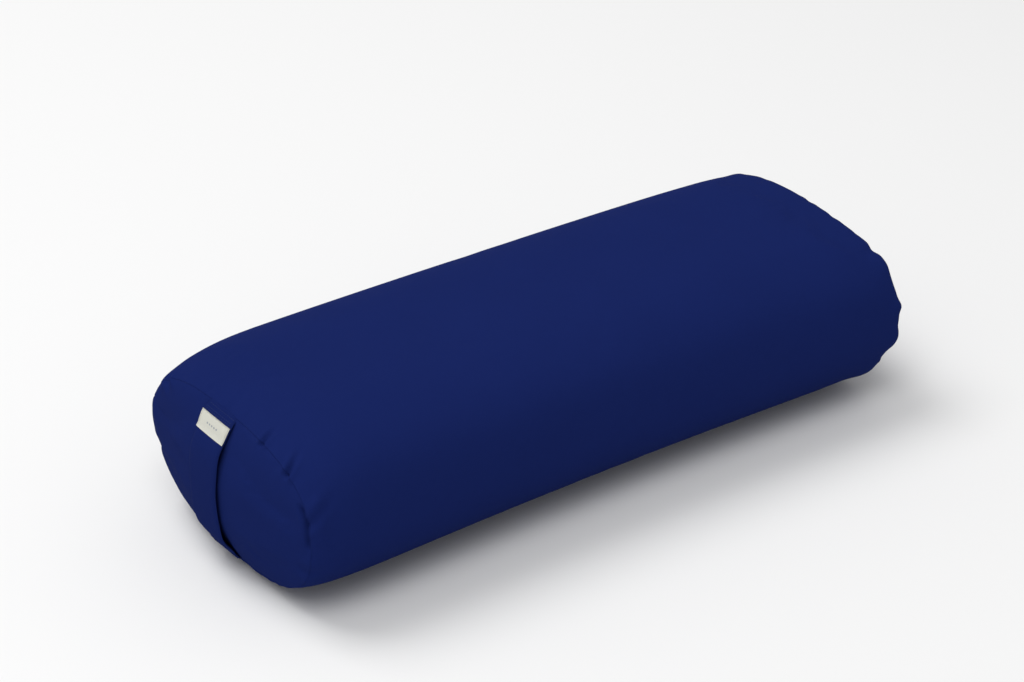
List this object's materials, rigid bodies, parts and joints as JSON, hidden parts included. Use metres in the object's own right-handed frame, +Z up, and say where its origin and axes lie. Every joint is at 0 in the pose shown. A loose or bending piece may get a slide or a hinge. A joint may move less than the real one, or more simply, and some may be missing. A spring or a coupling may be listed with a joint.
{
  "type": "bolster pillow",
  "caption": "Long firm bolster with a broad flattened oval section, crowned ends, a fabric carrying strap on one end, a small woven label and a back zip over a liner bag.",
  "frame": {"origin": "on the floor, under the centre of the whole object's box", "axes": "+X along the length, away from the handle end; +Y across, towards the zip; +Z up"},
  "size_m": [0.6956, 0.28, 0.17],
  "materials": {
    "cover_cotton": "matte",
    "cover_thread": "matte",
    "label_weave": "matte",
    "label_thread": "matte",
    "zip_tape": "matte",
    "zip_coil": "satin",
    "zip_metal": "satin",
    "liner_cloth": "matte",
    "liner_thread": "matte",
    "filling_fibre": "matte"
  },
  "bodies": {
    "root": {"cover_body": "cover_cotton", "handle_end_panel": "cover_cotton", "plain_end_panel": "cover_cotton", "handle_strap": "cover_cotton", "woven_label": "label_weave", "label_stitches": "label_thread", "handle_end_seam_thread": "cover_thread", "plain_end_seam_thread": "cover_thread", "handle_top_tack_stitches": "cover_thread", "handle_bottom_tack_stitches": "cover_thread", "zip_stitching_upper": "cover_thread", "zip_stitching_lower": "cover_thread", "zip_tape_upper": "zip_tape", "zip_tape_lower": "zip_tape", "zip_coil_upper": "zip_coil", "zip_coil_lower": "zip_coil", "zip_top_stops": "zip_metal", "zip_bottom_stop": "zip_metal", "liner_body": "liner_cloth", "liner_plain_end": "liner_cloth", "liner_handle_end": "liner_cloth", "liner_closing_stitches": "liner_thread", "filling": "filling_fibre"},
    "slider": {"zip_slider": "zip_metal"},
    "pull": {"zip_pull": "zip_metal"}
  },
  "joints": [
    {"name": "zip_slide", "type": "slide", "parent": "root", "child": "slider", "axis": [1, 0, 0], "range_m": [0, 0.44]},
    {"name": "pull_swing", "type": "hinge", "parent": "slider", "child": "pull", "pos_m": [-0.216, 0.13678, 0.11615], "axis": [0, -0.342, 0.9397], "range_deg": [0, 175]}
  ]
}
